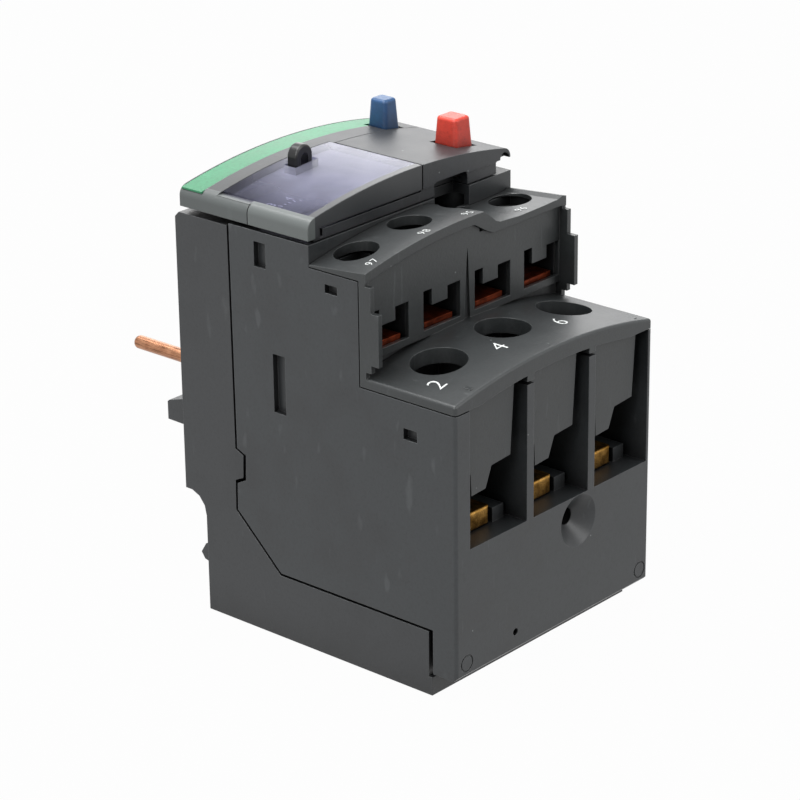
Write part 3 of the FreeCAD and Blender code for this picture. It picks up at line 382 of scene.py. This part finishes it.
MATERIALS = {
    # Case and covers: near-black glass-filled polyamide with a satin sheen
    "rear": moulded_plastic("moulded_polyamide_rear", "#2f3133", "#6d7071", "#292b2d",
                            0.42, 0.30, 0.011),
    "housing": moulded_plastic("moulded_polyamide_housing", "#303335", "#717476", "#2a2c2e",
                               0.42, 0.30, 0.011),
    # Coarser tool grain, so the arched plates look softer than the flat sides
    "shroud": moulded_plastic("moulded_polyamide_shroud", "#2e3132", "#6f7374", "#292c2d",
                              0.42, 0.34, 0.020),
    "cover": moulded_plastic("moulded_polyamide_cover", "#2e3033", "#7d8082", "#292b2d",
                             0.44, 0.32, 0.013, painted_end_highlight=True),
    # Plate and dial under the flap: smoother, a little bluer, almost no grain
    "plate": moulded_plastic("moulded_scale_plate", "#33353b", "#6a6c70", "#2b2d33",
                             0.50, 0.35, 0.001, painted_hollow_shade=False),
    "dial": moulded_plastic("moulded_dial_plastic", "#4a4c50", "#8a8c8e", "#404246",
                            0.38, 0.30, 0.004, painted_hollow_shade=False),
    # Slick and black, with a sharper highlight than the case
    "black": moulded_plastic("moulded_black_acetal", "#121314", "#4a4b4c", "#0d0d0e",
                             0.30, 0.30, 0.003),
    # Push buttons: saturated ABS with a thin gloss
    "blue": moulded_plastic("moulded_blue_abs", "#23507f", "#5a86ae", "#1d436b",
                            0.42, 0.40, 0.006, 0.12, specks=0.97),
    "red": moulded_plastic("moulded_red_abs", "#dd4331", "#ee8070", "#c43626",
                           0.42, 0.40, 0.006, 0.12, specks=0.97),
    # Printed film, flatter and smoother than the cover that it lies in
    "green": moulded_plastic("printed_green_film", "#2f8159", "#7fb99a", "#2a7650",
                             0.44, 0.40, 0.002, 0.05, specks=0.97, painted_hollow_shade=False),
    # Undyed slides and levers inside: waxy off-white
    "acetal": moulded_plastic("moulded_natural_acetal", "#d3cdbd", "#e6e2d6", "#c4bda9",
                              0.40, 0.30, 0.003),
    "clear": clear_polycarbonate("moulded_clear_polycarbonate"),
    # Metals: bright plating, dull blackened screws, yellow brass, pink copper,
    # copper strip with a dark red oxide, grey bimetal and pale silver contacts
    "steel": worked_metal("zinc_plated_steel", "#b9bbb8", "#8f918f", 0.34, 0),
    "screw": worked_metal("blackened_steel_screw", "#6c6e6d", "#444645", 0.40, 0),
    "brass": worked_metal("machined_brass", "#cf9f55", "#7d5820", 0.34, 1, 0.16),
    "copper": worked_metal("drawn_copper_pin", "#c08c6c", "#ab775a", 0.30, 1),
    "strip": worked_metal("rolled_copper_strip", "#a0492c", "#5f2716", 0.42, 0),
    "bimetal": worked_metal("rolled_bimetal", "#a39c90", "#7d766a", 0.38, 2),
    "silver": worked_metal("silver_alloy_contact", "#d8d6d0", "#b0aea8", 0.28, 0),
    # Matt inks: off-white on the case, cooler on the scale under the flap
    "ink": printed_ink("pad_printed_white_ink", "#dfe2e1"),
    "faint": printed_ink("pad_printed_grey_ink", "#f2f2f6"),
}

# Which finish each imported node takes; a name matches by its start
NODE_FINISH = {
    "rear_shell": "rear",
    "main_housing": "housing",
    "terminal_shroud": "shroud",
    "front_cover": "cover",
    "stop_panel": "cover",
    "window_flap": "clear",
    "scale_plate": "plate",
    "setting_dial": "dial",
    "sealing_eyelet": "black",
    "label_strip": "green",
    "reset_button": "blue",
    "stop_button": "red",
    "dial_cam": "acetal",
    "overload_slide": "acetal",
    "phase_slide": "acetal",
    "compensating_lever": "acetal",
    "trip_rocker": "acetal",
    "terminal_bar": "brass",
    "power_pin": "copper",
    "nc_contact": "strip",
    "no_contact": "strip",
    "bimetal": "bimetal",
    "nc_bridge": "silver",
    "no_bridge": "silver",
    "power_screw": "screw",
    "aux_screw": "screw",
    "case_screw": "screw",
}


def dress_nodes():
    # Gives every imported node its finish; all others are plated steel.
    for name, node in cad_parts.items():
        finish = "steel"
        for start, key in NODE_FINISH.items():
            if name.startswith(start):
                finish = key
        node.data.materials.clear()
        node.data.materials.append(MATERIALS[finish])


# ---------------------------------------------------------------------------
# Printed numbers
# ---------------------------------------------------------------------------
def printed_text(name, text, place, height, reading, away, finish, body, spacing=1.0):
    # Raised film of ink. reading and away are the text's right and up directions.
    curve = bpy.data.curves.new(name, "FONT")
    curve.body = text
    curve.size = height / CAPITAL_SHARE
    curve.align_x = "CENTER"
    curve.align_y = "CENTER"
    curve.space_character = spacing
    curve.extrude = INK_HALF_THICKNESS
    curve.offset = -STROKE_THINNING * height
    curve.resolution_u = 4
    source = bpy.data.objects.new(name + "_outline", curve)
    mesh = bpy.data.meshes.new_from_object(source)
    bpy.data.objects.remove(source)
    mesh.name = name
    piece = bpy.data.objects.new(name, mesh)
    bpy.context.scene.collection.objects.link(piece)
    right = Vector(reading).normalized()
    up = Vector(away)
    up = (up - right * up.dot(right)).normalized()
    out = right.cross(up)
    turn = Matrix((right, up, out)).transposed().to_4x4()
    mesh.transform(Matrix.Translation(Vector(place) + out * INK_LIFT) @ turn)
    mesh.materials.append(MATERIALS[finish])
    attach(piece, body)
    return piece


def arch_height(x, crown, radius):
    return crown - radius + math.sqrt(radius * radius - x * x)


def on_power_plate(x_mm, y_mm):
    # Place on the arched plate over the power terminals, y from the load face.
    x = x_mm * MM
    z = arch_height(x, POWER_CROWN_Z, POWER_ARCH_R)
    slope = -x / math.sqrt(POWER_ARCH_R ** 2 - x * x)
    return (x, FRONT_FACE_Y + y_mm * MM, z), (1, 0, slope), (0, 1, 0)


def on_aux_plate(x_mm, y_mm, flat=False):
    x = x_mm * MM
    fall = AUX_TILT * (y_mm * MM - AUX_EDGE_Y)
    z = AUX_FLAT_Z if flat else arch_height(x, AUX_CROWN_Z, AUX_ARCH_R)
    slope = 0.0 if flat else -x / math.sqrt(AUX_ARCH_R ** 2 - x * x)
    return (x, FRONT_FACE_Y + y_mm * MM, z - fall), (1, 0, slope), (0, 1, -AUX_TILT)


def print_terminal_numbers():
    for number, x in POWER_NUMBERS:
        place, right, up = on_power_plate(x, POWER_NUMBER_Y)
        printed_text("power_number_" + number, number, place, POWER_NUMBER_HEIGHT, right, up,
                     "ink", "case")
    for number, x in AUX_NUMBERS:
        place, right, up = on_aux_plate(x, AUX_NUMBER_Y)
        printed_text("aux_number_" + number, number, place, AUX_NUMBER_HEIGHT, right, up,
                     "ink", "case", AUX_NUMBER_SPACING)
    place, right, up = on_aux_plate(FLAT_NUMBER_X, FLAT_NUMBER_Y, flat=True)
    printed_text("aux_number_" + FLAT_NUMBER, FLAT_NUMBER, place, AUX_NUMBER_HEIGHT, right, up,
                 "ink", "case", AUX_NUMBER_SPACING)


def print_setting_scale():
    # Numbers and ticks round the dial, on the plate under the flap.
    low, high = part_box("setting_dial")
    plate_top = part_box("scale_plate")[1][2]
    centre = Vector(((low[0] + high[0]) / 2, (low[1] + high[1]) / 2, plate_top))
    reach = (high[0] - low[0]) / 2
    for i, number in enumerate(SCALE_NUMBERS, start=1):
        angle = math.radians(SCALE_START - NUMBER_STEP * i)
        out = Vector((math.cos(angle), math.sin(angle), 0))
        spot = centre + out * (reach + SCALE_NUMBER_REACH)
        printed_text("scale_number_" + number, number, spot, SCALE_NUMBER_HEIGHT,
                     (1, 0, 0), (0, 1, 0), "faint", "case")
    print_ticks(centre, reach + TICK_GAP)


def print_ticks(centre, start):
    # Thin raised bars that point away from the dial, a longer one at each number.
    mesh = bpy.data.meshes.new("scale_ticks")
    build = bmesh.new()
    for i in range(TICK_COUNT):
        angle = math.radians(SCALE_START - TICK_STEP * i)
        out = Vector((math.cos(angle), math.sin(angle), 0))
        side = Vector((-out.y, out.x, 0)) * TICK_HALF_WIDTH
        length = SHORT_TICK if i % TICKS_PER_NUMBER else LONG_TICK
        near = centre + out * start
        far = centre + out * (start + length)
        corners = []
        for z in (INK_LIFT, INK_LIFT + TICK_THICKNESS):
            lift = Vector((0, 0, z))
            corners.append([build.verts.new(p + lift) for p in
                            (near - side, near + side, far + side, far - side)])
        bottom, top = corners
        build.faces.new(bottom[::-1])
        build.faces.new(top)
        for j in range(4):
            build.faces.new((bottom[j], bottom[(j + 1) % 4], top[(j + 1) % 4], top[j]))
    build.normal_update()
    build.to_mesh(mesh)
    build.free()
    ticks = bpy.data.objects.new("scale_ticks", mesh)
    bpy.context.scene.collection.objects.link(ticks)
    mesh.materials.append(MATERIALS["faint"])
    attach(ticks, "case")


# ---------------------------------------------------------------------------
# Studio: pale floor, soft lamps, white surroundings
# ---------------------------------------------------------------------------
def seen_directly(tree):
    # 1 for camera, mirror and glass rays, which then see plain white.
    path = add(tree, "ShaderNodeLightPath")
    seen = maths(tree, "MAXIMUM", path.outputs["Is Camera Ray"], path.outputs["Is Glossy Ray"])
    return maths(tree, "MAXIMUM", seen, path.outputs["Is Transmission Ray"])


def white_surroundings():
    world = bpy.data.worlds.new("white_room")
    world.use_nodes = True
    tree = world.node_tree
    tree.nodes.clear()
    ambient = add(tree, "ShaderNodeBackground", {"Color": linear("#ffffff"), "Strength": 0.36})
    plain = add(tree, "ShaderNodeBackground", {"Color": linear("#ffffff"), "Strength": 1.0})
    both = add(tree, "ShaderNodeMixShader",
               links={0: seen_directly(tree), 1: ambient.outputs[0], 2: plain.outputs[0]})
    add(tree, "ShaderNodeOutputWorld", links={"Surface": both.outputs[0]})
    bpy.context.scene.world = world


def pale_floor():
    mesh = bpy.data.meshes.new("floor")
    build = bmesh.new()
    half = FLOOR_HALF
    build.faces.new([build.verts.new(p) for p in
                     ((-half, -half, 0), (half, -half, 0), (half, half, 0), (-half, half, 0))])
    build.to_mesh(mesh)
    build.free()
    floor = bpy.data.objects.new("floor", mesh)
    floor.location.z = -FLOOR_GAP
    bpy.context.scene.collection.objects.link(floor)
    material, tree = new_material("pale_studio_floor")
    paint = add(tree, "ShaderNodeBsdfDiffuse", {"Color": linear("#484848")})
    glow = add(tree, "ShaderNodeEmission", {"Color": linear("#ffffff"), "Strength": 1.03})
    share = maths(tree, "MULTIPLY", seen_directly(tree), 0.95)
    both = add(tree, "ShaderNodeMixShader",
               links={0: share, 1: paint.outputs[0], 2: glow.outputs[0]})
    finish_material(tree, both.outputs[0])
    mesh.materials.append(material)


def soft_lamp(name, place, size, watts):
    lamp = bpy.data.lights.new(name, "AREA")
    lamp.shape = "RECTANGLE"
    lamp.size = size[0]
    lamp.size_y = size[1]
    lamp.energy = watts
    holder = bpy.data.objects.new(name, lamp)
    holder.location = place
    holder.rotation_mode = "QUATERNION"
    toward = Vector(LAMP_AIM) - Vector(place)
    holder.rotation_quaternion = toward.to_track_quat("-Z", "Y")
    bpy.context.scene.collection.objects.link(holder)


def light_the_relay():
    for name, place, size, watts in LAMPS:
        soft_lamp(name, place, size, watts)


def set_camera():
    lens = bpy.data.cameras.new("view")
    lens.sensor_width = SENSOR_WIDTH_MM
    lens.lens = FOCAL_LENGTH_MM
    lens.clip_start = 0.01
    lens.clip_end = 20.0
    camera = bpy.data.objects.new("view", lens)
    bpy.context.scene.collection.objects.link(camera)
    turn = math.radians(CAMERA_TURN)
    rise = math.radians(CAMERA_RISE)
    roll = math.radians(CAMERA_ROLL)
    back = Vector((math.sin(turn) * math.cos(rise), -math.cos(turn) * math.cos(rise),
                   math.sin(rise)))
    right = (-back).cross(Vector((0, 0, 1))).normalized()
    up = right.cross(-back)
    right_rolled = right * math.cos(roll) + up * math.sin(roll)
    up_rolled = up * math.cos(roll) - right * math.sin(roll)
    axes = Matrix((right_rolled, up_rolled, back)).transposed().to_4x4()
    camera.matrix_world = Matrix.Translation(CAMERA_AT) @ axes
    bpy.context.scene.camera = camera


dress_nodes()
print_terminal_numbers()
print_setting_scale()
white_surroundings()
pale_floor()
light_the_relay()
set_camera()
bpy.context.scene.view_settings.view_transform = "Standard"

bpy.context.view_layer.update()
